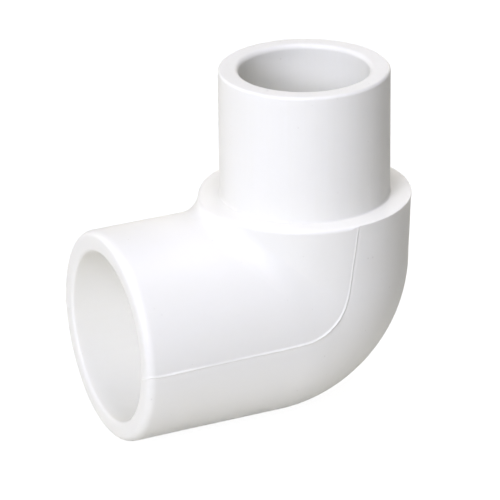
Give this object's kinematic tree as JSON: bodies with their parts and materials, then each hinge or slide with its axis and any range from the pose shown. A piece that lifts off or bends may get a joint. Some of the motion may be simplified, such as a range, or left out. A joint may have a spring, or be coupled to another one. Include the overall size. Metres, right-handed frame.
{
  "type": "pipe elbow",
  "caption": "One inch PVC street elbow: a 90 degree solvent-weld pipe fitting with a plain socket at one end and a pipe-size spigot behind a flat shoulder at the other.",
  "frame": {"origin": "middle of the footprint's box, level with the lowest line of the barrel. The socket's axis and the spigot's axis cross at x 11.15 mm, y 0, z 20.85 mm", "axes": "+Z runs along the spigot's axis, out of its end; -X runs along the socket's axis, out of its mouth; Y is across both, and the part is symmetric about the plane y 0"},
  "size_m": [0.064, 0.042, 0.0689],
  "materials": {
    "white_pvc": "satin-gloss white rigid PVC, as moulded"
  },
  "bodies": {
    "root": {"elbow_body": "white_pvc"}
  },
  "joints": []
}
